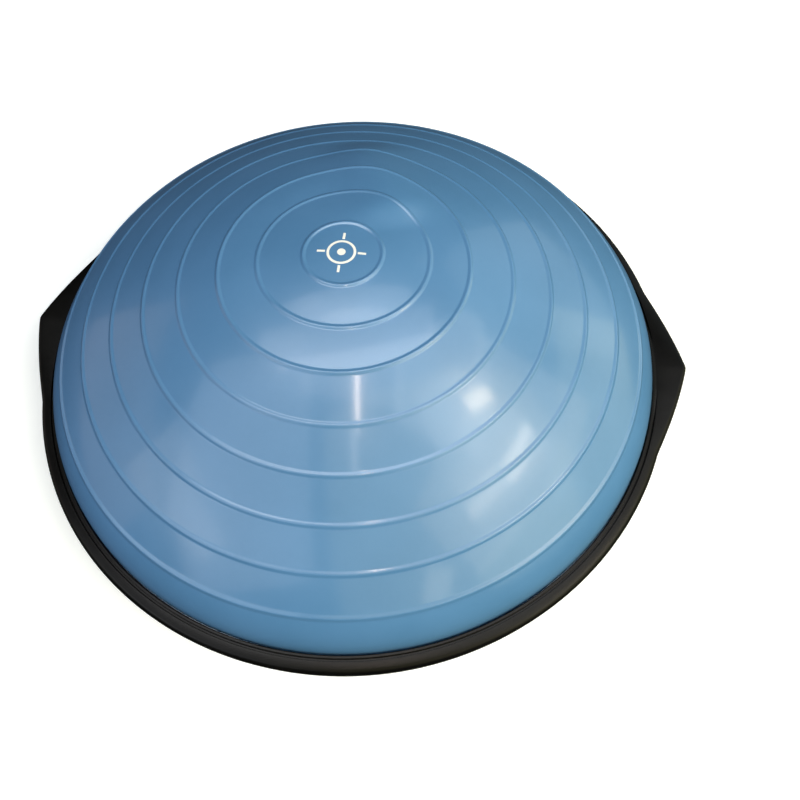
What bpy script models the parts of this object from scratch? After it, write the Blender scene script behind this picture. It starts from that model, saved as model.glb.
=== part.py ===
"""Balance dome trainer: a soft inflated dome with round ribs, clamped into a stiff round platform that has a pointed
handle at each end. Metres, +Z up, origin on the floor under the middle, handles along X."""

import math

import bmesh
import bpy
from mathutils import Matrix, Vector

NAME = "balance_dome_trainer"

# Platform outline
RIM_RADIUS = 0.320
RIM_EDGE_Z = 0.0515
HANDLE_REACH = 0.0205
HANDLE_RISE = 0.0045
HANDLE_HALF_ANGLE = math.radians(17.5)
HANDLE_TIP_ROUND = math.radians(1.0)
GRIP_HALF_ANGLE = math.radians(14.0)
GRIP_BLEND_ANGLE = math.radians(2.0)
SCALLOP_MARGIN = math.radians(1.0)
SCALLOP_STEPS = 14
RING_STEPS = 96

# Clearance between touching pieces, and how far joined shapes reach into each other
GAP = 0.0003
OVERLAP = 0.001

# Heights of the stack that clamps the dome, from the floor up
BASE_BOTTOM_Z = 0.004
BASE_WALL = 0.005
FLANGE_BOTTOM_Z = 0.038
FLANGE_TOP_Z = 0.042
GASKET_THICKNESS = 0.0016
BEAD_THICKNESS = 0.0036
LIP_TOP_Z = 0.0569

# Base plate
BASE_FLAT_RADIUS = 0.284
SKIRT_TOP_RADIUS = 0.306
FLANGE_INNER_RADIUS = 0.290
FLANGE_OUTER_RADIUS = 0.3179
GRIP_INNER_RADIUS = 0.3122
RIB_COUNT = 12
RIB_WIDTH = 0.0035
RIB_HEIGHT = 0.014
RIB_START_RADIUS = 0.050

# Retaining ring, from the lip beside the dome out to the rim
RING_INNER_RADIUS = 0.3045
LIP_WIDTH = 0.0026
LIP_ROUND = 0.0007
GROOVE_WIDTH = 0.0012
GROOVE_DEPTH = 0.0020
FLANGE_DROP = 0.0008
CROWN_INSET = 0.0030
CROWN_HEIGHT = 0.0036
EDGE_ROUND = 0.0009
CLAMP_OUTER_RADIUS = 0.3116
RING_WALL = 0.0033
RING_WALL_BOTTOM_Z = 0.0395
GRIP_WALL_BOTTOM_Z = 0.036
GRIP_ROOF = 0.0032
PLAIN_FOOT_RADIUS = 0.3140
GRIP_FOOT_RADIUS = GRIP_INNER_RADIUS + 0.0006

# Dome
DOME_RADIUS = 0.3030
DOME_HEIGHT = 0.1450
DOME_SHARPNESS = 1.6
DOME_FULLNESS = 0.63
DOME_SKIN = 0.004
DOME_STEPS = 48
BEAD_RADIUS = 0.3110
BEAD_INNER_RADIUS = 0.2965
DOME_RIB_RADII = (0.0327, 0.0731, 0.1067, 0.1467, 0.1825, 0.2173, 0.2509, 0.2801)
DOME_RIB_WIDTH = 0.0048
DOME_RIB_HEIGHT = 0.0022

# Air valve, let into the underside
VALVE_Y = -0.115
WELL_RADIUS = 0.030
WELL_ROOF_Z = 0.014
WELL_SIDES = 32
VALVE_SIDES = 20
SEAT_HOLE_RADIUS = 0.0080
SEAT_NECK_RADIUS = 0.0117
SEAT_FLANGE_RADIUS = 0.0170
SEAT_FLANGE = 0.0018
PLUG_RADIUS = 0.0077
PLUG_TOP_Z = 0.0240
PLUG_HEAD_RADIUS = 0.0145
PLUG_HEAD = 0.0028
PLUG_RIB_PITCH = 0.0032
PLUG_RIB_HEIGHT = 0.0009
PULL_TAB_BOTTOM_Z = 0.0030
PULL_TAB_WIDTH = 0.024
PULL_TAB_THICKNESS = 0.005
PULL_TAB_ROUND = 0.0020

# Feet and screws
FOOT_COUNT = 8
FOOT_CIRCLE_RADIUS = 0.262
FOOT_RADIUS = 0.011
FOOT_POCKET_DEPTH = 0.0012
FOOT_EDGE = 0.0010
FOOT_SIDES = 16
SCREWS_PER_SIDE = 8
FIRST_SCREW_ANGLE = math.radians(22.0)
SCREW_CIRCLE_RADIUS = 0.3150
SCREW_RADIUS = 0.0017
SCREW_HOLE_RADIUS = 0.0020
SCREW_HEAD_RADIUS = 0.0029
SCREW_HEAD = 0.0020
SCREW_TOP_Z = 0.0482
SCREW_HOLE_TOP_Z = 0.0488
SCREW_SIDES = 8
SCREW_SLOT = (0.0070, 0.0008, 0.0018)
SCREW_TURN = 0.7

GASKET_BOTTOM_Z = FLANGE_TOP_Z + GAP
BEAD_BOTTOM_Z = GASKET_BOTTOM_Z + GASKET_THICKNESS + GAP
BEAD_TOP_Z = BEAD_BOTTOM_Z + BEAD_THICKNESS
CLAMP_Z = BEAD_TOP_Z + GAP


def clear_scene():
    for obj in list(bpy.data.objects):
        bpy.data.objects.remove(obj, do_unlink=True)


def new_collection(name):
    made = bpy.data.collections.new(name)
    bpy.context.scene.collection.children.link(made)
    return made


def new_material(name, colour, roughness, metallic=0.0):
    made = bpy.data.materials.new(name)
    made.use_nodes = True
    shader = made.node_tree.nodes["Principled BSDF"]
    shader.inputs["Base Color"].default_value = (*colour, 1.0)
    shader.inputs["Roughness"].default_value = roughness
    shader.inputs["Metallic"].default_value = metallic
    return made


def object_from(bm, name, collection, material=None, sharp=math.radians(35)):
    """Makes an object from a bmesh and shades its round faces smooth."""
    bmesh.ops.recalc_face_normals(bm, faces=bm.faces)
    mesh = bpy.data.meshes.new(name)
    bm.to_mesh(mesh)
    bm.free()
    mesh.shade_smooth()
    mesh.set_sharp_from_angle(angle=sharp)
    obj = bpy.data.objects.new(name, mesh)
    if material:
        obj.data.materials.append(material)
    collection.objects.link(obj)
    return obj


def turned(name, profile, steps, collection, material=None, centre=(0.0, 0.0)):
    """A turned piece: the profile of (radius, height) runs down its outer side. A profile that starts or ends on
    the axis is left open there, and any other is closed."""
    mesh = bpy.data.meshes.new(name)
    points = [(r, 0.0, z) for r, z in profile]
    on_axis = profile[0][0] == 0.0 and profile[-1][0] == 0.0
    edges = [(i, i + 1) for i in range(len(points) - 1)]
    if not on_axis:
        edges.append((len(points) - 1, 0))
    mesh.from_pydata(points, edges, [])
    obj = bpy.data.objects.new(name, mesh)
    obj.location = (centre[0], centre[1], 0.0)
    if material:
        obj.data.materials.append(material)
    collection.objects.link(obj)
    screw = obj.modifiers.new("turn", "SCREW")
    screw.steps = steps
    screw.render_steps = steps
    screw.use_merge_vertices = True
    screw.merge_threshold = 0.00005
    screw.use_smooth_shade = True
    return obj


def cylinder(bm, radius, low, high, place, sides):
    """Adds a closed cylinder that stands at place, from low to high."""
    middle = Vector((place[0], place[1], (low + high) / 2))
    bmesh.ops.create_cone(
        bm, cap_ends=True, segments=sides, radius1=radius, radius2=radius,
        depth=high - low, matrix=Matrix.Translation(middle),
    )


def box(bm, size, centre, angle=0.0):
    """Adds a box of that size whose centre is turned by angle about the upright axis of the object."""
    turn = Matrix.Rotation(angle, 4, "Z")
    scale = Matrix.Diagonal((*size, 1.0))
    bmesh.ops.create_cube(bm, size=1.0, matrix=turn @ Matrix.Translation(centre) @ scale)


def cutter_from(bm, name, collection):
    obj = object_from(bm, name, collection)
    obj.hide_render = True
    obj.display_type = "WIRE"
    return obj


def cut(obj, cutter, operation="DIFFERENCE"):
    made = obj.modifiers.new(cutter.name, "BOOLEAN")
    made.operation = operation
    made.solver = "EXACT"
    made.object = cutter


def on_circle(radius, angle):
    return radius * math.cos(angle), radius * math.sin(angle)


def from_handle(angle):
    """The angle between a direction and the nearer handle's crest, always positive."""
    return abs((angle + math.pi / 2) % math.pi - math.pi / 2)


def handle_share(angle):
    """How far the outline has left the circle: 0 on the round rim, near 1 at a handle's tip."""
    rounded = math.hypot(from_handle(angle), HANDLE_TIP_ROUND)
    return max(0.0, 1.0 - rounded / HANDLE_HALF_ANGLE) ** 1.25


def grip_share(angle):
    """1 where the ring is hollowed for the fingers, 0 on the plain rim."""
    return min(1.0, max(0.0, (GRIP_HALF_ANGLE - from_handle(angle)) / GRIP_BLEND_ANGLE))


def ring_section(angle):
    """The closed outline of the retaining ring at that angle, as (radius, height)."""
    share = handle_share(angle)
    grip = grip_share(angle)

    def mixed(plain, hollow):
        return plain + (hollow - plain) * grip

    lip_r = RING_INNER_RADIUS + LIP_WIDTH
    groove_z = LIP_TOP_Z - GROOVE_DEPTH
    flange_r, flange_z = lip_r + GROOVE_WIDTH, LIP_TOP_Z - FLANGE_DROP
    edge_r = RIM_RADIUS + HANDLE_REACH * share
    edge_z = RIM_EDGE_Z + HANDLE_RISE * share
    crown_r, crown_z = edge_r - CROWN_INSET, min(edge_z + CROWN_HEIGHT, flange_z)
    under_z = FLANGE_TOP_Z + GAP
    wall_r = edge_r - mixed(RIM_RADIUS - FLANGE_OUTER_RADIUS - GAP, RING_WALL)
    wall_z = mixed(RING_WALL_BOTTOM_Z, GRIP_WALL_BOTTOM_Z)
    roof_start = (PLAIN_FOOT_RADIUS + RIM_RADIUS) / 2
    return [
        (RING_INNER_RADIUS, CLAMP_Z),
        (RING_INNER_RADIUS, LIP_TOP_Z - LIP_ROUND),
        (RING_INNER_RADIUS + LIP_ROUND, LIP_TOP_Z),
        (lip_r - LIP_ROUND, LIP_TOP_Z),
        (lip_r, LIP_TOP_Z - LIP_ROUND),
        (lip_r, groove_z),
        (flange_r, groove_z),
        (flange_r + LIP_ROUND / 2, flange_z),
        (crown_r, crown_z),
        (edge_r - EDGE_ROUND, (2 * crown_z + edge_z) / 3),
        (edge_r, edge_z),
        (edge_r - EDGE_ROUND / 2, wall_z),
        (wall_r, wall_z),
        (wall_r, mixed(under_z, crown_z - GRIP_ROOF)),
        (mixed(roof_start, GRIP_FOOT_RADIUS + EDGE_ROUND), mixed(under_z, flange_z - GRIP_ROOF)),
        (mixed(PLAIN_FOOT_RADIUS, GRIP_FOOT_RADIUS), under_z),
        (CLAMP_OUTER_RADIUS, under_z),
        (CLAMP_OUTER_RADIUS, CLAMP_Z),
    ]


def ring_angles():
    """Evenly spread angles, one of them on each handle's crest."""
    return [2 * math.pi * k / RING_STEPS for k in range(RING_STEPS)]


def lofted_ring(name, section_at, angles, collection, material):
    """A ring through a closed section that changes with the angle."""
    bm = bmesh.new()
    loops = []
    for angle in angles:
        loops.append([bm.verts.new((*on_circle(r, angle), z)) for r, z in section_at(angle)])
    count = len(loops[0])
    for first, second in zip(loops, loops[1:] + loops[:1]):
        for k in range(count):
            after = (k + 1) % count
            bm.faces.new((first[k], first[after], second[after], second[k]))
    return object_from(bm, name, collection, material)


def screw_angles():
    span = (math.pi - 2 * FIRST_SCREW_ANGLE) / (SCREWS_PER_SIDE - 1)
    side = [FIRST_SCREW_ANGLE + span * k for k in range(SCREWS_PER_SIDE)]
    return side + [angle + math.pi for angle in side]


def foot_angles():
    return [2 * math.pi * (k + 0.5) / FOOT_COUNT for k in range(FOOT_COUNT)]


def dome_height(radius):
    """Height of the smooth outer skin above the lip, from a rounded cone that is full at its foot."""
    share = min(1.0, radius / DOME_RADIUS)
    return DOME_HEIGHT * (1.0 - share**DOME_SHARPNESS) ** DOME_FULLNESS


def skin_z(radius):
    return LIP_TOP_Z + dome_height(radius)


def dome_profile():
    """Outer skin with its ribs from the top to the bead, then the inner skin back up to the axis."""
    half = DOME_RIB_WIDTH / 2
    outer = [(0.0, skin_z(0.0)), (DOME_RIB_RADII[0] / 2, skin_z(DOME_RIB_RADII[0] / 2))]
    for k, rib in enumerate(DOME_RIB_RADII):
        outer.append((rib - half, skin_z(rib - half)))
        slope = (skin_z(rib - half) - skin_z(rib + half)) / DOME_RIB_WIDTH
        lift = DOME_RIB_HEIGHT / math.hypot(1.0, slope)
        outer.append((rib + slope * lift, skin_z(rib) + lift))
        outer.append((rib + half, skin_z(rib + half)))
        if k + 1 < len(DOME_RIB_RADII):
            middle = (rib + DOME_RIB_RADII[k + 1]) / 2
            outer.append((middle, skin_z(middle)))
    for share in (0.45, 0.75, 0.93):
        radius = DOME_RIB_RADII[-1] + (DOME_RADIUS - DOME_RIB_RADII[-1]) * share
        outer.append((radius, skin_z(radius)))
    outer.append((DOME_RADIUS, LIP_TOP_Z - 0.002))
    outer.append((DOME_RADIUS, BEAD_TOP_Z))
    bead = [(BEAD_RADIUS, BEAD_TOP_Z), (BEAD_RADIUS, BEAD_BOTTOM_Z), (BEAD_INNER_RADIUS, BEAD_BOTTOM_Z)]
    inner_radius = DOME_RADIUS - DOME_SKIN
    shares = (1.0, 0.985, 0.95, 0.88, 0.78, 0.65, 0.5, 0.35, 0.18)
    inner = [(BEAD_INNER_RADIUS, BEAD_TOP_Z - 0.0006), (inner_radius, BEAD_TOP_Z + 0.002)]
    inner += [(inner_radius * s, inner_skin_z(s)) for s in shares]
    return outer + bead + inner + [(0.0, inner_skin_z(0.0))]


def inner_skin_z(share):
    """Height of the inner skin, a little lower and narrower than the outer one."""
    low = LIP_TOP_Z - 0.001
    return low + (DOME_HEIGHT - DOME_SKIN) * (1.0 - share**DOME_SHARPNESS) ** DOME_FULLNESS


def make_base_plate(parts, cutters, material):
    floor_z = BASE_BOTTOM_Z + BASE_WALL
    inner_foot = BASE_FLAT_RADIUS - BASE_WALL
    inner_top = SKIRT_TOP_RADIUS - BASE_WALL
    profile = [
        (0.0, floor_z),
        (inner_foot, floor_z),
        (inner_top, FLANGE_BOTTOM_Z),
        (FLANGE_INNER_RADIUS, FLANGE_BOTTOM_Z),
        (FLANGE_INNER_RADIUS, FLANGE_TOP_Z),
        (FLANGE_OUTER_RADIUS, FLANGE_TOP_Z),
        (FLANGE_OUTER_RADIUS, FLANGE_BOTTOM_Z),
        (SKIRT_TOP_RADIUS, FLANGE_BOTTOM_Z),
        (BASE_FLAT_RADIUS + 0.0015, BASE_BOTTOM_Z + 0.0012),
        (BASE_FLAT_RADIUS - 0.0010, BASE_BOTTOM_Z),
        (0.0, BASE_BOTTOM_Z),
    ]
    base = turned("base_plate", profile, RING_STEPS, parts, material)

    bm = bmesh.new()
    start, end = RIB_START_RADIUS, inner_foot + OVERLAP
    for k in range(RIB_COUNT):
        angle = 2 * math.pi * (k + 0.5) / RIB_COUNT
        centre = ((start + end) / 2, 0.0, floor_z + (RIB_HEIGHT - OVERLAP) / 2)
        box(bm, (end - start, RIB_WIDTH, RIB_HEIGHT + OVERLAP), centre, angle)
    ribs = cutter_from(bm, "stiffening_ribs", cutters)
    cut(base, ribs, "UNION")

    bm = bmesh.new()
    cylinder(bm, WELL_RADIUS + BASE_WALL, floor_z - OVERLAP, WELL_ROOF_Z + BASE_WALL, (0.0, VALVE_Y), WELL_SIDES)
    cut(base, cutter_from(bm, "valve_well_wall", cutters), "UNION")
    bm = bmesh.new()
    cylinder(bm, WELL_RADIUS, 0.0, WELL_ROOF_Z, (0.0, VALVE_Y), WELL_SIDES)
    cut(base, cutter_from(bm, "valve_well_hollow", cutters))
    bm = bmesh.new()
    cylinder(bm, SEAT_NECK_RADIUS + GAP, 0.0, FLANGE_BOTTOM_Z, (0.0, VALVE_Y), VALVE_SIDES)
    cut(base, cutter_from(bm, "valve_hole", cutters))

    bm = bmesh.new()
    for angle in foot_angles():
        place = on_circle(FOOT_CIRCLE_RADIUS, angle)
        cylinder(bm, FOOT_RADIUS + GAP, 0.0, BASE_BOTTOM_Z + FOOT_POCKET_DEPTH, place, FOOT_SIDES)
    cut(base, cutter_from(bm, "foot_pockets", cutters))

    bm = bmesh.new()
    for angle in screw_angles():
        place = on_circle(SCREW_CIRCLE_RADIUS, angle)
        cylinder(bm, SCREW_HOLE_RADIUS, FLANGE_BOTTOM_Z - 0.005, FLANGE_TOP_Z + 0.005, place, SCREW_SIDES)
    cut(base, cutter_from(bm, "screw_clearance_holes", cutters))
    cut(base, make_scallops(cutters))
    return base


def make_scallops(cutters):
    """The two arcs that trim the flange back, to make room for the fingers in the handles."""
    bm = bmesh.new()
    low, high = FLANGE_BOTTOM_Z - 0.003, FLANGE_TOP_Z + 0.003
    reach = GRIP_HALF_ANGLE + SCALLOP_MARGIN
    for middle in (0.0, math.pi):
        inner, outer = [], []
        for k in range(SCALLOP_STEPS + 1):
            angle = middle - reach + 2 * reach * k / SCALLOP_STEPS
            inner.append(on_circle(GRIP_INNER_RADIUS, angle))
            outer.append(on_circle(FLANGE_OUTER_RADIUS + 0.004, angle))
        outline = inner + outer[::-1]
        bottom = bm.faces.new([bm.verts.new((x, y, low)) for x, y in outline])
        moved = bmesh.ops.extrude_face_region(bm, geom=[bottom])["geom"]
        top = [item for item in moved if isinstance(item, bmesh.types.BMVert)]
        bmesh.ops.translate(bm, verts=top, vec=(0.0, 0.0, high - low))
    return cutter_from(bm, "grip_scallops", cutters)


def make_retaining_ring(parts, cutters, material):
    ring = lofted_ring("retaining_ring", ring_section, ring_angles(), parts, material)
    bm = bmesh.new()
    for angle in screw_angles():
        place = on_circle(SCREW_CIRCLE_RADIUS, angle)
        cylinder(bm, SCREW_HOLE_RADIUS, FLANGE_TOP_Z - 0.002, SCREW_HOLE_TOP_Z, place, SCREW_SIDES)
    cut(ring, cutter_from(bm, "screw_pilot_holes", cutters))
    return ring


def make_dome(parts, material):
    return turned("dome", dome_profile(), DOME_STEPS, parts, material)


def make_rim_gasket(parts, material):
    low, high = GASKET_BOTTOM_Z, GASKET_BOTTOM_Z + GASKET_THICKNESS
    profile = [
        (BEAD_INNER_RADIUS, high),
        (BEAD_RADIUS, high),
        (BEAD_RADIUS, low),
        (BEAD_INNER_RADIUS, low),
    ]
    return turned("rim_gasket", profile, DOME_STEPS, parts, material)


def make_valve_seat(parts, material):
    roof, top = WELL_ROOF_Z, WELL_ROOF_Z + BASE_WALL
    profile = [
        (SEAT_HOLE_RADIUS, top + GAP + SEAT_FLANGE),
        (SEAT_FLANGE_RADIUS - 0.0008, top + GAP + SEAT_FLANGE),
        (SEAT_FLANGE_RADIUS, top + GAP + SEAT_FLANGE - 0.0008),
        (SEAT_FLANGE_RADIUS, top + GAP),
        (SEAT_NECK_RADIUS, top + GAP),
        (SEAT_NECK_RADIUS, roof - GAP),
        (SEAT_FLANGE_RADIUS, roof - GAP),
        (SEAT_FLANGE_RADIUS, roof - GAP - SEAT_FLANGE + 0.0006),
        (SEAT_FLANGE_RADIUS - 0.0006, roof - GAP - SEAT_FLANGE),
        (SEAT_HOLE_RADIUS, roof - GAP - SEAT_FLANGE),
    ]
    return turned("valve_seat", profile, VALVE_SIDES, parts, material, centre=(0.0, VALVE_Y))


def make_air_plug(parts, cutters, material):
    """A ribbed stopper with a round head and a flat pull tab under it. Its origin is on its pull-out axis."""
    head_top = WELL_ROOF_Z - GAP - SEAT_FLANGE - GAP
    head_bottom = head_top - PLUG_HEAD
    profile = [(0.0, PLUG_TOP_Z), (PLUG_RADIUS - 0.0026, PLUG_TOP_Z)]
    rib_z = PLUG_TOP_Z - 0.0012
    profile.append((PLUG_RADIUS - 0.0010, rib_z))
    while rib_z - PLUG_RIB_PITCH > head_top + 0.0010:
        profile.append((PLUG_RADIUS, rib_z - 0.0010))
        profile.append((PLUG_RADIUS, rib_z - 0.0018))
        profile.append((PLUG_RADIUS - PLUG_RIB_HEIGHT, rib_z - 0.0024))
        profile.append((PLUG_RADIUS - PLUG_RIB_HEIGHT, rib_z - PLUG_RIB_PITCH))
        rib_z -= PLUG_RIB_PITCH
    profile += [
        (PLUG_RADIUS - PLUG_RIB_HEIGHT, head_top),
        (PLUG_HEAD_RADIUS - 0.0008, head_top),
        (PLUG_HEAD_RADIUS, head_top - 0.0008),
        (PLUG_HEAD_RADIUS, head_bottom + 0.0008),
        (PLUG_HEAD_RADIUS - 0.0008, head_bottom),
        (0.0, head_bottom),
    ]
    plug = turned("air_plug", profile, VALVE_SIDES, parts, material, centre=(0.0, VALVE_Y))
    bm = bmesh.new()
    tab_height = head_bottom + OVERLAP - PULL_TAB_BOTTOM_Z
    tab_centre = (0.0, VALVE_Y, PULL_TAB_BOTTOM_Z + tab_height / 2)
    box(bm, (PULL_TAB_WIDTH, PULL_TAB_THICKNESS, tab_height), tab_centre)
    upright = [edge for edge in bm.edges if abs(edge.verts[0].co.z - edge.verts[1].co.z) > 0.001]
    bmesh.ops.bevel(bm, geom=upright, offset=PULL_TAB_ROUND, segments=3, affect="EDGES", profile=0.5)
    cut(plug, cutter_from(bm, "pull_tab", cutters), "UNION")
    return plug


def make_feet(parts, material):
    top = BASE_BOTTOM_Z + FOOT_POCKET_DEPTH - GAP
    profile = [
        (0.0, top),
        (FOOT_RADIUS, top),
        (FOOT_RADIUS, FOOT_EDGE),
        (FOOT_RADIUS - FOOT_EDGE, 0.0),
        (0.0, 0.0),
    ]
    for k, angle in enumerate(foot_angles(), start=1):
        place = on_circle(FOOT_CIRCLE_RADIUS, angle)
        turned(f"foot_{k}", profile, FOOT_SIDES, parts, material, centre=place)


def make_screws(parts, cutters, material):
    """Pan-head screws up through the flange, each with a straight slot across its head."""
    head_top = FLANGE_BOTTOM_Z - GAP
    head_bottom = head_top - SCREW_HEAD
    for k, angle in enumerate(screw_angles(), start=1):
        place = on_circle(SCREW_CIRCLE_RADIUS, angle)
        profile = [
            (0.0, SCREW_TOP_Z),
            (SCREW_RADIUS - 0.0008, SCREW_TOP_Z),
            (SCREW_RADIUS, SCREW_TOP_Z - 0.0014),
            (SCREW_RADIUS, head_top),
            (SCREW_HEAD_RADIUS, head_top),
            (SCREW_HEAD_RADIUS, head_bottom + 0.0007),
            (SCREW_HEAD_RADIUS - 0.0009, head_bottom),
            (0.0, head_bottom),
        ]
        screw = turned(f"screw_{k:02d}", profile, SCREW_SIDES, parts, material, centre=place)
        bm = bmesh.new()
        bmesh.ops.create_cube(bm, size=1.0)
        bmesh.ops.scale(bm, verts=bm.verts, vec=SCREW_SLOT)
        bmesh.ops.rotate(bm, verts=bm.verts, matrix=Matrix.Rotation(SCREW_TURN * k, 3, "Z"))
        bmesh.ops.translate(bm, verts=bm.verts, vec=(*place, head_bottom))
        cut(screw, cutter_from(bm, f"screw_slot_{k:02d}", cutters))


def main():
    clear_scene()
    parts = new_collection(NAME)
    cutters = new_collection(NAME + "_cutters")
    black = new_material("platform_plastic", (0.020, 0.020, 0.021), 0.45)
    blue = new_material("dome_vinyl", (0.090, 0.270, 0.480), 0.35)
    rubber = new_material("soft_rubber", (0.015, 0.015, 0.015), 0.80)
    steel = new_material("screw_steel", (0.50, 0.50, 0.51), 0.35, metallic=1.0)
    plug_plastic = new_material("plug_plastic", (0.55, 0.54, 0.50), 0.50)
    make_base_plate(parts, cutters, black)
    make_retaining_ring(parts, cutters, black)
    make_dome(parts, blue)
    make_rim_gasket(parts, rubber)
    make_valve_seat(parts, rubber)
    make_air_plug(parts, cutters, plug_plastic)
    make_feet(parts, rubber)
    make_screws(parts, cutters, steel)


main()
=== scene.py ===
"""Looks for the balance dome trainer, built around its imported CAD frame. Metres, +Z up, handles along X."""

import math

import bmesh
import bpy
from mathutils import Matrix, Vector


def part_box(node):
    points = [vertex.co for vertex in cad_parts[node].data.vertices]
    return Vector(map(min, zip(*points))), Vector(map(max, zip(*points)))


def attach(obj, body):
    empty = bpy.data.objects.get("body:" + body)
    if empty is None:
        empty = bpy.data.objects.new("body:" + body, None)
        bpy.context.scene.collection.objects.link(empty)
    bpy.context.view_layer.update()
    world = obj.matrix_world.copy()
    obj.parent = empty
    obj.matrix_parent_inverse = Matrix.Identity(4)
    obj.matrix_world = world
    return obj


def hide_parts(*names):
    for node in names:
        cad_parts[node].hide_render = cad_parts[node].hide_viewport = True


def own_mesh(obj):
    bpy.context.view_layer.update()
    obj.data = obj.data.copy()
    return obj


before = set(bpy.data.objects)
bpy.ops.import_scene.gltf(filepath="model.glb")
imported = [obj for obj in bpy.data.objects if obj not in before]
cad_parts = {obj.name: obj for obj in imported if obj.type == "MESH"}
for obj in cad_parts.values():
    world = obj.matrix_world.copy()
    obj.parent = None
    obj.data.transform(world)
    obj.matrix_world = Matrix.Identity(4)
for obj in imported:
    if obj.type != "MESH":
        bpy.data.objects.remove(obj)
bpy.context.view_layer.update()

RING_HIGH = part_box("retaining_ring")[1]
DOME_LOW, DOME_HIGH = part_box("dome")

# Retaining ring. Its groove comes in between two angles from a handle. Each later pair holds the value on the
# plain rim, and the value at a grip, where the ring is hollow.
RIM_RADIUS = RING_HIGH.y
LIP_TOP_Z = RING_HIGH.z
LIP_INNER_RADIUS = 0.3045
LIP_OUTER_RADIUS = 0.3074
GROOVE_WIDTH = 0.0019
GROOVE_DEPTH = 0.0036
GROOVE_LEAST_DEPTH = 0.0002
GROOVE_FADE = (math.radians(4.0), math.radians(12.0))
FLANGE_DROP = 0.0007
FLANGE_LEAST_DROP = 0.0001
CROWN_WIDTH = 0.0030
CROWN_HEIGHT = 0.0036
RIM_EDGE_Z = 0.0515
RIM_EDGE_UNDERCUT = 0.0004
WALL_THICKNESS = (0.0018, 0.0033)
WALL_BOTTOM_Z = (0.0395, 0.0360)
ROOF_THICKNESS = 0.0032
HOLLOW_ROOF_RADIUS = (0.3170, 0.3137)
HOLLOW_FOOT_RADIUS = (0.3140, 0.3128)
UNDERSIDE_Z = 0.0423
CLAMP_RADIUS = 0.3116
CLAMP_Z = 0.0482
CORNER_STEPS = 3
MOST_CORNER_CUT = 0.45
RING_STEPS_PER_DEGREE = 2

# The two pointed handles of the ring, and the grips under them
HANDLE_REACH = 0.0192
HANDLE_RISE = 0.0060
HANDLE_HALF_ANGLE = math.radians(17.5)
HANDLE_TIP_ROUND = math.radians(0.25)
HANDLE_SWEEP = 1.25
HANDLE_FOLD_HEIGHT = 0.0042
HANDLE_CREST_DEGREES = (-0.25, -0.12, 0.12, 0.25)
GRIP_HALF_ANGLE = math.radians(14.0)
GRIP_BLEND_ANGLE = math.radians(2.0)

# Dome skin: its ribs as (radius, height above the lip, how far the skin bulges between it and the last rib)
DOME_RADIUS = 0.3032
APEX_HEIGHT = 0.1444
RIBS = (
    (0.0327, 0.1429, 0.00035),
    (0.0731, 0.1362, 0.00045),
    (0.1080, 0.1301, 0.00050),
    (0.1467, 0.1147, 0.00040),
    (0.1825, 0.0987, 0.00024),
    (0.2173, 0.0801, 0.00026),
    (0.2509, 0.0609, 0.00027),
    (0.2812, 0.0389, 0.00050),
)
RIB_HALF_WIDTH = 0.0029
RIB_HEIGHT = 0.0009
FOOT_SLOPE = 0.95
FOOT_DROP = 0.0020
STEEPEST_SLOPE = -20.0
SKIN_THICKNESS = 0.004

# The bead at the dome's edge, and the fillet between it and the skin as (outwards, up)
BEAD_THICKNESS = 0.0036
BEAD_INNER_RADIUS = 0.2965
BEAD_BEVEL = 0.0004
BEAD_INNER_STEP = 0.0006
BEAD_FILLET = (0.0008, 0.0012)

# Rows of the dome's mesh. The top's are shares of the first rib's radius, and the inner skin's of the dome's.
DOME_TURN_STEPS = 360
TOP_ROWS = (0.15, 0.3, 0.45, 0.6, 0.75, 0.85)
HALF_RIB_STEPS = 6
RIB_STEPS = range(-HALF_RIB_STEPS - 1, HALF_RIB_STEPS + 2)
RIB_CLEARANCE = 1.2 * RIB_HALF_WIDTH
BETWEEN_RIBS_STEPS = 6
FOOT_STEPS = 12
INNER_ROWS = (1.0, 0.985, 0.95, 0.9, 0.8, 0.7, 0.6, 0.5, 0.4, 0.3, 0.2, 0.1, 0.03)
SLOPE_STEP = 0.0004
LEAST_SLOPE_STEP = 0.00005

# Where the inflated skin isn't quite round: a soft ridge towards the far side, which rises and falls at shares
# of its length; a right-hand side that is fuller, with radii for its rise and fall; and a second rib that is
# slack in front
RIDGE_START = Vector((0.045, 0.030))
RIDGE_END = Vector((-0.012, 0.185))
RIDGE_WIDTH = 0.034
RIDGE_HEIGHT = 0.0060
RIDGE_RISE = (0.0, 0.22)
RIDGE_FALL = (0.72, 1.02)
FULLER_SIDE = 0.0022
FULLER_RISE = (0.0, 0.03)
FULLER_FALL = (0.22, 0.30)
SLACK_PULL = 0.0035
SLACK_REACH = 0.036

# The mark printed on top of the dome
MARK_DOT_RADIUS = 0.0036
MARK_CIRCLE_RADIUS = 0.0115
MARK_HALF_LINE = 0.0011
MARK_TICK_RADIUS = 0.0175
MARK_TICK_HALF_LENGTH = 0.0035

# Colours, each pair from dark to pale
VINYL_BLUES = ((0.067, 0.185, 0.384), (0.075, 0.199, 0.410))
VINYL_FLECK = (0.083, 0.213, 0.428)
MARK_WHITE = (0.78, 0.80, 0.82)
PLASTIC_BLACKS = ((0.0016, 0.0016, 0.0016), (0.0030, 0.0030, 0.0030))
PLASTIC_DUST = (0.008, 0.008, 0.008)
RUBBER_BLACKS = ((0.012, 0.012, 0.012), (0.022, 0.022, 0.021))
ZINC_GREYS = ((0.42, 0.42, 0.43), (0.58, 0.58, 0.57))
PLUG_WHITES = ((0.50, 0.49, 0.45), (0.60, 0.59, 0.55))
FLOOR_WHITE = (0.86, 0.89, 0.93, 1.0)
DAYLIGHT = (0.92, 0.96, 1.0, 1.0)
BACKDROP_WHITE = (0.97, 0.98, 1.0, 1.0)

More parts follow.
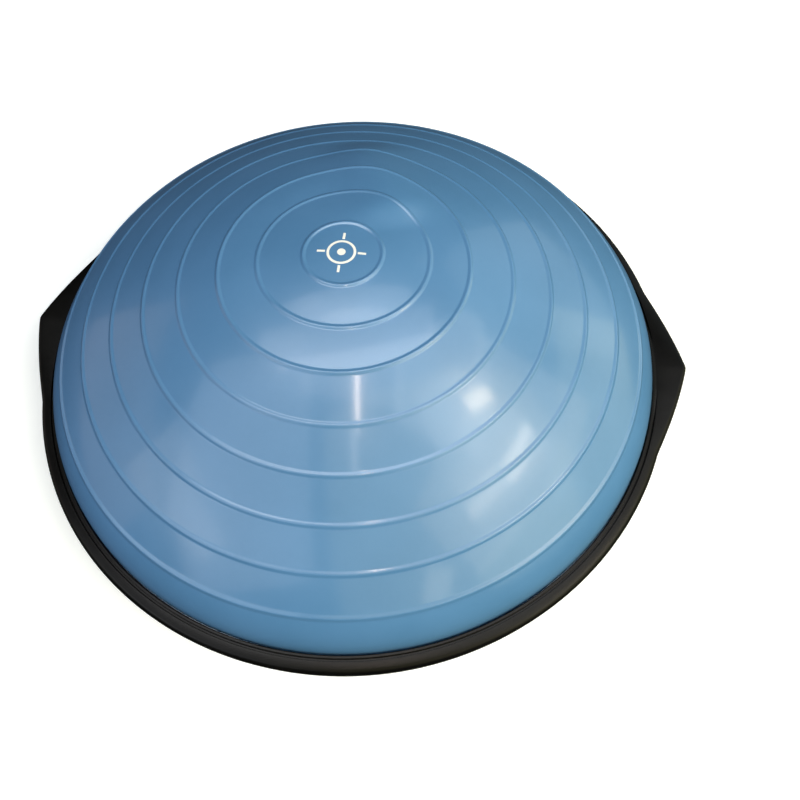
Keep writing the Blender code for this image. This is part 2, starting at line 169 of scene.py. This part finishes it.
# Stage, lights and camera, with angles in degrees. The floor fades between two distances from the middle.
FLOOR_HALF_SIZE = 6.0
FLOOR_DROP = 0.0002
FLOOR_FADE = (1.0, 1.9)
LIGHT_AIM = Vector((0.0, 0.0, 0.15))
CEILING_Z = 2.15
CEILING_TURN = 15.3
CAMERA_PLACE = Vector((0.0898, -0.3523, 0.6338))
CAMERA_HEADING = 97.018
CAMERA_PITCH = 63.138
CAMERA_ROLL = -1.546
CAMERA_LENS_MM = 29.29
CAMERA_SENSOR_MM = 36.0

SHARP_ANGLE = math.radians(50)
WHITE = (1.0, 1.0, 1.0)


def on_circle(radius, angle):
    return radius * math.cos(angle), radius * math.sin(angle)


def smooth_step(low, high, value):
    t = min(1.0, max(0.0, (value - low) / (high - low)))
    return t * t * (3 - 2 * t)


# ---------------------------------------------------------------- materials


def node_material(name):
    made = bpy.data.materials.new(name)
    made.use_nodes = True
    tree = made.node_tree
    return made, tree, tree.nodes["Principled BSDF"]


def fill(tree, node, inputs):
    """Links each input to the socket given for it, or sets it to the value."""
    for key, value in inputs.items():
        if isinstance(value, bpy.types.NodeSocket):
            tree.links.new(value, node.inputs[key])
        else:
            node.inputs[key].default_value = value


def add(tree, kind, inputs, **settings):
    node = tree.nodes.new(kind)
    for key, value in settings.items():
        setattr(node, key, value)
    fill(tree, node, inputs)
    return node


def object_coordinates(tree):
    return add(tree, "ShaderNodeTexCoord", {}).outputs["Object"]


def noise(tree, coords, scale, detail=2.0, roughness=0.5):
    inputs = {"Vector": coords, "Scale": scale, "Detail": detail, "Roughness": roughness}
    return add(tree, "ShaderNodeTexNoise", inputs).outputs["Fac"]


def ramp(tree, value, reach, colours):
    """Goes softly from the first colour to the second as the value crosses reach."""
    node = add(tree, "ShaderNodeValToRGB", {"Fac": value})
    node.color_ramp.interpolation = "EASE"
    for element, position, colour in zip(node.color_ramp.elements, reach, colours):
        element.position = position
        element.color = (*colour, 1.0)
    return node.outputs["Color"]


def remap(tree, value, reach, result):
    """Goes softly from the first result to the second as the value crosses reach."""
    inputs = {"Value": value}
    inputs["From Min"], inputs["From Max"] = reach
    inputs["To Min"], inputs["To Max"] = result
    return add(tree, "ShaderNodeMapRange", inputs, interpolation_type="SMOOTHSTEP").outputs["Result"]


def mix_colour(tree, factor, base, colour):
    """The base, turned to the colour where the factor is 1. A Mix node's colour inputs are 6 and 7."""
    inputs = {0: factor, 6: base, 7: (*colour, 1.0)}
    return add(tree, "ShaderNodeMix", inputs, data_type="RGBA").outputs[2]


def math_node(tree, operation, *values):
    return add(tree, "ShaderNodeMath", dict(enumerate(values)), operation=operation).outputs[0]


def bump(tree, height, strength, distance):
    inputs = {"Height": height, "Strength": strength, "Distance": distance}
    return add(tree, "ShaderNodeBump", inputs).outputs["Normal"]


def centre_mark(tree, coords):
    """A plain printed centring mark: a dot, a thin circle and four short ticks. 1 where it is printed."""
    split = add(tree, "ShaderNodeSeparateXYZ", {"Vector": coords})
    x, y = split.outputs["X"], split.outputs["Y"]
    squares = [math_node(tree, "MULTIPLY", side, side) for side in (x, y)]
    radius = math_node(tree, "SQRT", math_node(tree, "ADD", *squares))
    dot = math_node(tree, "LESS_THAN", radius, MARK_DOT_RADIUS)
    circle = math_node(tree, "COMPARE", radius, MARK_CIRCLE_RADIUS, MARK_HALF_LINE)
    off_axis = math_node(tree, "MINIMUM", *[math_node(tree, "ABSOLUTE", side) for side in (x, y)])
    narrow = math_node(tree, "LESS_THAN", off_axis, MARK_HALF_LINE)
    reach = math_node(tree, "COMPARE", radius, MARK_TICK_RADIUS, MARK_TICK_HALF_LENGTH)
    ticks = math_node(tree, "MULTIPLY", narrow, reach)
    return math_node(tree, "MAXIMUM", math_node(tree, "MAXIMUM", dot, circle), ticks)


def vinyl_material():
    """Blue semi-gloss vinyl: soft mottling, faint moulding haze, and the printed centre mark."""
    made, tree, shader = node_material("dome_vinyl_skin")
    coords = object_coordinates(tree)
    base = ramp(tree, noise(tree, coords, scale=14.0), (0.30, 0.70), VINYL_BLUES)
    flecks = remap(tree, noise(tree, coords, scale=160.0), (0.35, 0.65), (0.0, 0.12))
    base = mix_colour(tree, flecks, base, VINYL_FLECK)
    base = mix_colour(tree, centre_mark(tree, coords), base, MARK_WHITE)
    haze = noise(tree, coords, scale=9.0, detail=1.5)
    fill(tree, shader, {
        "Base Color": base,
        "Roughness": remap(tree, haze, (0.3, 0.7), (0.285, 0.325)),
        "Normal": bump(tree, noise(tree, coords, scale=420.0), strength=0.05, distance=0.0006),
        "IOR": 1.50,
        "Specular IOR Level": 0.34,
        "Coat Weight": 0.45,
        "Coat Roughness": 0.115,
    })
    return made


def platform_material():
    """Moulded black plastic with a fine leathery grain, a little dust and slightly polished patches."""
    made, tree, shader = node_material("platform_grained_plastic")
    coords = object_coordinates(tree)
    cloud = noise(tree, coords, scale=22.0, detail=4.0, roughness=0.6)
    dust = remap(tree, noise(tree, coords, scale=300.0, roughness=0.6), (0.62, 0.80), (0.0, 0.35))
    grain = add(tree, "ShaderNodeTexVoronoi", {"Vector": coords, "Scale": 900.0}, feature="F1")
    fill(tree, shader, {
        "Base Color": mix_colour(tree, dust, ramp(tree, cloud, (0.30, 0.72), PLASTIC_BLACKS), PLASTIC_DUST),
        "Roughness": remap(tree, cloud, (0.3, 0.7), (0.28, 0.32)),
        "Normal": bump(tree, grain.outputs["Distance"], strength=0.13, distance=0.0004),
        "Specular IOR Level": 0.12,
    })
    return made


def rubber_material():
    """Matt black rubber with a fine rough skin."""
    made, tree, shader = node_material("soft_black_rubber")
    coords = object_coordinates(tree)
    cloud = noise(tree, coords, scale=60.0, detail=3.0)
    fill(tree, shader, {
        "Base Color": ramp(tree, cloud, (0.3, 0.7), RUBBER_BLACKS),
        "Roughness": remap(tree, cloud, (0.3, 0.7), (0.72, 0.86)),
        "Normal": bump(tree, noise(tree, coords, scale=1500.0), strength=0.25, distance=0.0003),
    })
    return made


def steel_material():
    """Zinc-plated steel with a spangle of duller and brighter grains."""
    made, tree, shader = node_material("zinc_plated_steel")
    cloud = noise(tree, object_coordinates(tree), scale=700.0, detail=3.0)
    fill(tree, shader, {
        "Base Color": ramp(tree, cloud, (0.3, 0.7), ZINC_GREYS),
        "Roughness": remap(tree, cloud, (0.3, 0.7), (0.24, 0.42)),
        "Metallic": 1.0,
    })
    return made


def plug_material():
    """Off-white plastic, slightly uneven in colour and shine."""
    made, tree, shader = node_material("plug_off_white_plastic")
    coords = object_coordinates(tree)
    cloud = noise(tree, coords, scale=90.0, detail=4.0)
    fill(tree, shader, {
        "Base Color": ramp(tree, cloud, (0.3, 0.7), PLUG_WHITES),
        "Roughness": remap(tree, cloud, (0.3, 0.7), (0.42, 0.56)),
        "Normal": bump(tree, noise(tree, coords, scale=900.0), strength=0.12, distance=0.0003),
    })
    return made


# ---------------------------------------------------------------- mesh building


def piece_from(bm, name, material, body, node):
    """Turns a bmesh into a piece that rides on a body and stands for a CAD node."""
    bmesh.ops.recalc_face_normals(bm, faces=bm.faces)
    mesh = bpy.data.meshes.new(name)
    bm.to_mesh(mesh)
    bm.free()
    mesh.shade_smooth()
    mesh.set_sharp_from_angle(angle=SHARP_ANGLE)
    mesh.materials.append(material)
    obj = bpy.data.objects.new(name, mesh)
    bpy.context.scene.collection.objects.link(obj)
    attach(obj, body)
    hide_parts(node)
    return obj


def loft(bm, loops, closed_section=True):
    """Joins outlines, each a list of points, all the way round the object."""
    rings = [[bm.verts.new(point) for point in loop] for loop in loops]
    count = len(rings[0])
    last = count if closed_section else count - 1
    for first, second in zip(rings, rings[1:] + rings[:1]):
        for k in range(last):
            after = (k + 1) % count
            bm.faces.new((first[k], first[after], second[after], second[k]))
    return rings


def rounded(corners):
    """A closed outline of (radius, height), from corners that also say how far off the rounding starts."""
    outline = []
    for k, (_, _, reach) in enumerate(corners):
        before, here, after = (Vector(corners[(k + d) % len(corners)][:2]) for d in (-1, 0, 1))
        back, ahead = before - here, after - here
        cut = min(reach, MOST_CORNER_CUT * back.length, MOST_CORNER_CUT * ahead.length)
        start, end = here + back.normalized() * cut, here + ahead.normalized() * cut
        for step in range(CORNER_STEPS + 1):
            t = step / CORNER_STEPS
            outline.append((1 - t) ** 2 * start + 2 * t * (1 - t) * here + t * t * end)
    return outline


# ---------------------------------------------------------------- dome


def skin_height(radius):
    """Height of the skin above the lip: a shallow bulge between ribs, and a round fall to the foot."""
    inner_r, inner_z = 0.0, APEX_HEIGHT
    for rib_r, rib_z, bulge in RIBS:
        if radius <= rib_r:
            t = (radius - inner_r) / (rib_r - inner_r)
            return inner_z + (rib_z - inner_z) * t + 4 * bulge * t * (1 - t)
        inner_r, inner_z = rib_r, rib_z
    reach = DOME_RADIUS - inner_r
    t = 1 - math.sqrt(max(0.0, 1 - (radius - inner_r) / reach))
    corner_z = inner_z - FOOT_SLOPE * reach
    return (1 - t) ** 2 * inner_z + 2 * t * (1 - t) * corner_z - t * t * FOOT_DROP


def skin_z(radius):
    return LIP_TOP_Z + skin_height(radius)


def skin_slope(radius):
    step = min(SLOPE_STEP, DOME_RADIUS - radius)
    if step < LEAST_SLOPE_STEP:
        return STEEPEST_SLOPE
    return (skin_z(radius + step) - skin_z(radius - step)) / (2 * step)


def rib_lift(radius):
    """How far a rib stands out from the skin at this radius."""
    nearest = min(abs(radius - rib[0]) for rib in RIBS)
    if nearest >= RIB_HALF_WIDTH:
        return 0.0
    return RIB_HEIGHT * math.cos(math.pi / 2 * nearest / RIB_HALF_WIDTH) ** 2


def skin_rows():
    """Radii of the mesh rows: close together across a rib, wider between ribs, and closer to the foot."""
    rows = [RIBS[0][0] * t for t in TOP_ROWS]
    for k, (rib_r, _, _) in enumerate(RIBS):
        rows += [rib_r + RIB_HALF_WIDTH * step / HALF_RIB_STEPS for step in RIB_STEPS]
        if k + 1 < len(RIBS):
            start, end = rib_r + RIB_CLEARANCE, RIBS[k + 1][0] - RIB_CLEARANCE
            rows += [start + (end - start) * t / BETWEEN_RIBS_STEPS for t in range(1, BETWEEN_RIBS_STEPS)]
    start = RIBS[-1][0] + RIB_CLEARANCE
    reach = DOME_RADIUS - start
    rows += [start + reach * (1 - (1 - t / FOOT_STEPS) ** 2) for t in range(1, FOOT_STEPS + 1)]
    return rows


def ridge(x, y):
    """Height of the soft ridge over that place."""
    line = RIDGE_END - RIDGE_START
    offset = Vector((x, y)) - RIDGE_START
    along = offset.dot(line) / line.length_squared
    across = (offset - line * min(1.0, max(0.0, along))).length
    ends = smooth_step(*RIDGE_RISE, along) * (1 - smooth_step(*RIDGE_FALL, along))
    return RIDGE_HEIGHT * ends * math.exp(-((across / RIDGE_WIDTH) ** 2))


def skin_shift(radius, angle):
    """How much further out the skin lies than on a round dome: more on the right, less by the slack rib."""
    near_middle = smooth_step(*FULLER_RISE, radius) * (1 - smooth_step(*FULLER_FALL, radius))
    on_right = max(0.0, 0.5 + 0.5 * math.cos(angle)) ** 2
    near_rib = smooth_step(0.0, 1.0, 1 - abs(radius - RIBS[1][0]) / SLACK_REACH)
    in_front = max(0.0, -math.sin(angle)) ** 2
    return FULLER_SIDE * near_middle * on_right - SLACK_PULL * near_rib * in_front


def outer_skin(angle):
    """From near the apex down to the foot, over the ribs."""
    points = []
    for row in skin_rows():
        normal = Vector((-skin_slope(row), 1.0)).normalized()
        radius = row + skin_shift(row, angle) + normal.x * rib_lift(row)
        points.append((radius, skin_z(row) + normal.y * rib_lift(row) + ridge(*on_circle(radius, angle))))
    return points


def bead():
    """Out from the foot, round the clamped bead and back in under the skin."""
    low, high, outer = DOME_LOW.z, DOME_LOW.z + BEAD_THICKNESS, DOME_HIGH.x
    return [
        (DOME_RADIUS, high + BEAD_FILLET[1]), (DOME_RADIUS + BEAD_FILLET[0], high),
        (outer - BEAD_BEVEL, high), (outer, high - BEAD_BEVEL),
        (outer, low + BEAD_BEVEL), (outer - BEAD_BEVEL, low),
        (BEAD_INNER_RADIUS, low), (BEAD_INNER_RADIUS, high - BEAD_INNER_STEP),
    ]


def inner_skin(angle):
    """From the bead back up to near the apex."""
    points = []
    for share in INNER_ROWS:
        outer = DOME_RADIUS * share
        radius = outer - SKIN_THICKNESS
        points.append((radius, skin_z(outer) - SKIN_THICKNESS + ridge(*on_circle(radius, angle))))
    return points


def make_dome(material):
    """The inflated skin, outside and inside, with the bead at its edge."""
    bm = bmesh.new()
    loops = []
    for k in range(DOME_TURN_STEPS):
        angle = 2 * math.pi * k / DOME_TURN_STEPS
        section = outer_skin(angle) + bead() + inner_skin(angle)
        loops.append([(*on_circle(r, angle), z) for r, z in section])
    rings = loft(bm, loops, closed_section=False)
    top = bm.verts.new((0, 0, skin_z(0.0)))
    under = bm.verts.new((0, 0, skin_z(0.0) - SKIN_THICKNESS))
    for first, second in zip(rings, rings[1:] + rings[:1]):
        bm.faces.new((top, first[0], second[0]))
        bm.faces.new((under, second[-1], first[-1]))
    dome = piece_from(bm, "dome_vinyl_shell", material, "dome_skin", "dome")
    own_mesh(dome)


# ---------------------------------------------------------------- retaining ring


def from_handle(angle):
    """The angle to the nearer handle's crest."""
    return abs((angle + math.pi / 2) % math.pi - math.pi / 2)


def handle_share(angle):
    """1 at a handle's point, 0 on the round rim."""
    soft = math.hypot(from_handle(angle), HANDLE_TIP_ROUND)
    return max(0.0, 1.0 - soft / HANDLE_HALF_ANGLE) ** HANDLE_SWEEP


def grip_share(angle):
    """1 where the ring is hollow beneath for the fingers, 0 where it isn't."""
    return min(1.0, max(0.0, (GRIP_HALF_ANGLE - from_handle(angle)) / GRIP_BLEND_ANGLE))


def ring_section(angle):
    """The closed outline of the retaining ring at that angle, with its edges rounded."""
    share, grip = handle_share(angle), grip_share(angle)

    def mixed(plain, hollow):
        return plain + (hollow - plain) * grip

    groove = smooth_step(*GROOVE_FADE, from_handle(angle))
    groove_z = LIP_TOP_Z - GROOVE_LEAST_DEPTH - (GROOVE_DEPTH - GROOVE_LEAST_DEPTH) * groove
    flange_r = LIP_OUTER_RADIUS + GROOVE_WIDTH
    flange_z = LIP_TOP_Z - FLANGE_LEAST_DROP - FLANGE_DROP * groove
    edge_r = RIM_RADIUS + HANDLE_REACH * share
    edge_z = RIM_EDGE_Z + HANDLE_RISE * share
    crown_r = edge_r - CROWN_WIDTH
    crown_z = min(edge_z + CROWN_HEIGHT, flange_z + HANDLE_FOLD_HEIGHT * share)
    wall_r = edge_r - mixed(*WALL_THICKNESS)
    wall_z = mixed(*WALL_BOTTOM_Z)
    return rounded([
        (LIP_INNER_RADIUS, CLAMP_Z, 0.0004),
        (LIP_INNER_RADIUS, LIP_TOP_Z, 0.0009),
        (LIP_OUTER_RADIUS, LIP_TOP_Z, 0.0006),
        (LIP_OUTER_RADIUS, groove_z, 0.0003),
        (flange_r, groove_z, 0.0003),
        (flange_r, flange_z, 0.0004),
        (crown_r, crown_z, 0.0024),
        (edge_r, edge_z, 0.0026),
        (edge_r - RIM_EDGE_UNDERCUT, wall_z, 0.0008),
        (wall_r, wall_z, 0.0006),
        (wall_r, mixed(UNDERSIDE_Z, crown_z - ROOF_THICKNESS), 0.0010),
        (mixed(*HOLLOW_ROOF_RADIUS), mixed(UNDERSIDE_Z, flange_z - ROOF_THICKNESS), 0.0010),
        (mixed(*HOLLOW_FOOT_RADIUS), UNDERSIDE_Z, 0.0004),
        (CLAMP_RADIUS, UNDERSIDE_Z, 0.0003),
        (CLAMP_RADIUS, CLAMP_Z, 0.0003),
    ])


def ring_angles():
    """Half-degree steps, and finer ones across the crest of each handle."""
    even = [math.radians(k / RING_STEPS_PER_DEGREE) for k in range(360 * RING_STEPS_PER_DEGREE)]
    fine = [math.radians(middle + step) for middle in (0, 180, 360) for step in HANDLE_CREST_DEGREES]
    return sorted(even + [angle for angle in fine if 0 < angle < 2 * math.pi])


def make_ring(material):
    """The moulded ring that clamps the dome's bead, with its two handles."""
    bm = bmesh.new()
    loft(bm, [[(*on_circle(r, angle), z) for r, z in ring_section(angle)] for angle in ring_angles()])
    piece_from(bm, "retaining_ring_moulding", material, "platform", "retaining_ring")


# ---------------------------------------------------------------- stage, lights and camera


def make_floor():
    """A pale floor that glows a little, seen only by the camera, and fades into the backdrop."""
    bm = bmesh.new()
    bmesh.ops.create_grid(bm, x_segments=1, y_segments=1, size=FLOOR_HALF_SIZE)
    mesh = bpy.data.meshes.new("studio_floor")
    bm.to_mesh(mesh)
    bm.free()
    floor = bpy.data.objects.new("studio_floor", mesh)
    material, tree, shader = node_material("studio_floor_white")
    fill(tree, shader, {
        "Base Color": FLOOR_WHITE,
        "Emission Color": DAYLIGHT,
        "Emission Strength": 0.35,
        "Roughness": 0.9,
        "Specular IOR Level": 0.1,
    })
    from_middle = add(tree, "ShaderNodeVectorMath", {"Vector": object_coordinates(tree)}, operation="LENGTH")
    fade = remap(tree, from_middle.outputs["Value"], FLOOR_FADE, (0.0, 1.0))
    clear = add(tree, "ShaderNodeBsdfTransparent", {}).outputs["BSDF"]
    faded = add(tree, "ShaderNodeMixShader", {0: fade, 1: shader.outputs["BSDF"], 2: clear})
    tree.links.new(faded.outputs[0], tree.nodes["Material Output"].inputs["Surface"])
    mesh.materials.append(material)
    bpy.context.scene.collection.objects.link(floor)
    floor.location.z = -FLOOR_DROP
    floor.visible_glossy = False
    floor.visible_diffuse = False


def make_world():
    """A pale backdrop for the camera, and a faint glow for everything else."""
    world = bpy.data.worlds.new("studio_world")
    world.use_nodes = True
    tree = world.node_tree
    glow = tree.nodes["Background"]
    fill(tree, glow, {"Color": DAYLIGHT, "Strength": 0.03})
    backdrop = add(tree, "ShaderNodeBackground", {"Color": BACKDROP_WHITE, "Strength": 1.0})
    seen = add(tree, "ShaderNodeLightPath", {}).outputs["Is Camera Ray"]
    mixed = add(tree, "ShaderNodeMixShader", {0: seen, 1: glow.outputs[0], 2: backdrop.outputs[0]})
    tree.links.new(mixed.outputs[0], tree.nodes["World Output"].inputs["Surface"])
    bpy.context.scene.world = world


def direction(azimuth, elevation):
    """A unit vector from two angles in degrees."""
    a, e = math.radians(azimuth), math.radians(elevation)
    return Vector((math.cos(a) * math.cos(e), math.sin(a) * math.cos(e), math.sin(e)))


def area_light(name, position, target, size, radiance, colour, spin, mirrored):
    """A soft box as bright as radiance wherever it is seen, turned in its own plane by spin degrees.

    A mirrored one shows only in reflections.
    """
    light = bpy.data.lights.new(name, "AREA")
    light.shape = "RECTANGLE"
    light.size, light.size_y = size
    light.energy = 4 * size[0] * size[1] * radiance
    light.color = colour
    obj = bpy.data.objects.new(name, light)
    obj.location = position
    facing = (Vector(target) - Vector(position)).to_track_quat("-Z", "Y")
    obj.rotation_mode = "QUATERNION"
    obj.rotation_quaternion = facing @ Matrix.Rotation(math.radians(spin), 4, "Z").to_quaternion()
    obj.visible_diffuse = not mirrored
    bpy.context.scene.collection.objects.link(obj)


def panel(name, azimuth, elevation, distance, size, radiance, colour=WHITE, spin=0.0, mirrored=False):
    """A soft box that faces the dome from that direction, in degrees, and distance."""
    position = LIGHT_AIM + distance * direction(azimuth, elevation)
    area_light(name, position, LIGHT_AIM, size, radiance, colour, spin, mirrored)


def overhead(name, place, size, radiance):
    """A panel under the ceiling that faces straight down and shows only in reflections."""
    area_light(name, (*place, CEILING_Z), (*place, 0.0), size, radiance, WHITE, CEILING_TURN, True)


def make_windows():
    """Broad soft light from the right, mostly warm, and from the left."""
    panel("right_windows", -46, 40, 2.6, (3.88, 3.0), 1.02, (1.0, 0.92, 0.50), -17.8)
    panel("right_low", -8, 14, 2.6, (4.4, 1.3), 1.30, (1.0, 0.98, 0.60))
    panel("right_mid", -20, 38, 2.6, (2.8, 1.4), 1.78, (1.0, 0.92, 0.74))
    panel("right_high", 0, 60, 2.4, (1.8, 1.2), 1.85)
    panel("right_back", 42, 28, 2.6, (1.8, 2.2), 0.76, (0.84, 0.96, 1.0))
    panel("left_windows", -134, 42, 2.6, (1.88, 2.75), 1.52, (0.90, 0.93, 1.0), 44.3)
    panel("left_middle", -146, 26, 2.6, (1.5, 0.6), 1.45)
    panel("left_low", -176, 13, 2.6, (2.4, 1.1), 0.58, (1.0, 0.86, 0.78))


def make_tubes():
    """Two narrow lamps before the dome, whose reflections are the streaks down its front."""
    panel("overhead_tube", -81.5, 73.5, 2.2, (0.020, 0.64), 110.0, (1.0, 0.81, 0.66), -4.5, mirrored=True)
    panel("far_tube", -86, 60, 2.2, (0.05, 0.40), 7.0, (1.0, 0.92, 0.86))


def make_panes():
    """Bright panes with soft halos, whose reflections are the spots on the right of the dome's front."""
    panel("high_pane", -7.5, 49.3, 2.2, (0.34, 0.14), 16.5, (1.0, 0.76, 0.48), -35)
    panel("high_halo", -20, 55, 2.2, (0.80, 0.50), 1.4, (1.0, 0.96, 0.88), -25)
    panel("low_pane", -16.5, 35.4, 2.2, (0.58, 0.09), 14.0, (1.0, 0.86, 0.70), -8)
    panel("low_tail", -35, 38, 2.2, (0.50, 0.13), 5.8, (1.0, 0.88, 0.74), -3)
    panel("low_halo", -24, 38, 2.2, (1.20, 0.50), 1.2, (1.0, 0.96, 0.86), -10)
    panel("low_spot", -62, 22, 2.4, (0.30, 0.45), 2.9, (1.0, 0.92, 0.74), -25)


def make_ceiling():
    """Panels overhead, whose reflection is the bright step in front of the dome's middle."""
    overhead("overhead_panel", (-0.16, 0.061), (1.93, 0.53), 5.4)
    overhead("overhead_left", (-0.80, 0.28), (0.55, 0.40), 2.8)
    overhead("overhead_edge", (-0.21, 0.323), (1.87, 0.035), 8.0)
    overhead("overhead_beyond", (-0.20, 0.56), (1.74, 0.40), 2.0)
    panel("overhead_front", -90, 79, 2.4, (1.6, 0.7), 1.50, mirrored=True)


def make_camera():
    """Close above the front edge, looking steeply down."""
    data = bpy.data.cameras.new("camera")
    data.sensor_width = CAMERA_SENSOR_MM
    data.lens = CAMERA_LENS_MM
    camera = bpy.data.objects.new("camera", data)
    forward = direction(CAMERA_HEADING, -CAMERA_PITCH)
    right = forward.cross(Vector((0, 0, 1))).normalized()
    up = right.cross(forward)
    roll = math.radians(CAMERA_ROLL)
    turned_right = math.cos(roll) * right + math.sin(roll) * up
    turned_up = -math.sin(roll) * right + math.cos(roll) * up
    matrix = Matrix((turned_right, turned_up, -forward)).transposed().to_4x4()
    matrix.translation = CAMERA_PLACE
    camera.matrix_world = matrix
    bpy.context.scene.collection.objects.link(camera)
    bpy.context.scene.camera = camera


def dress_nodes(names, material):
    """Gives CAD nodes that keep their shape a better material."""
    for name in names:
        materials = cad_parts[name].data.materials
        materials.clear()
        materials.append(material)


make_camera()
make_floor()
make_world()
make_windows()
make_tubes()
make_panes()
make_ceiling()
bpy.context.scene.view_settings.view_transform = "Standard"

plastic = platform_material()
make_dome(vinyl_material())
make_ring(plastic)
dress_nodes(["base_plate"], plastic)
dress_nodes(["air_plug"], plug_material())
dress_nodes(["rim_gasket", "valve_seat"] + [f"foot_{k}" for k in range(1, 9)], rubber_material())
dress_nodes([f"screw_{k:02d}" for k in range(1, 17)], steel_material())

bpy.context.view_layer.update()
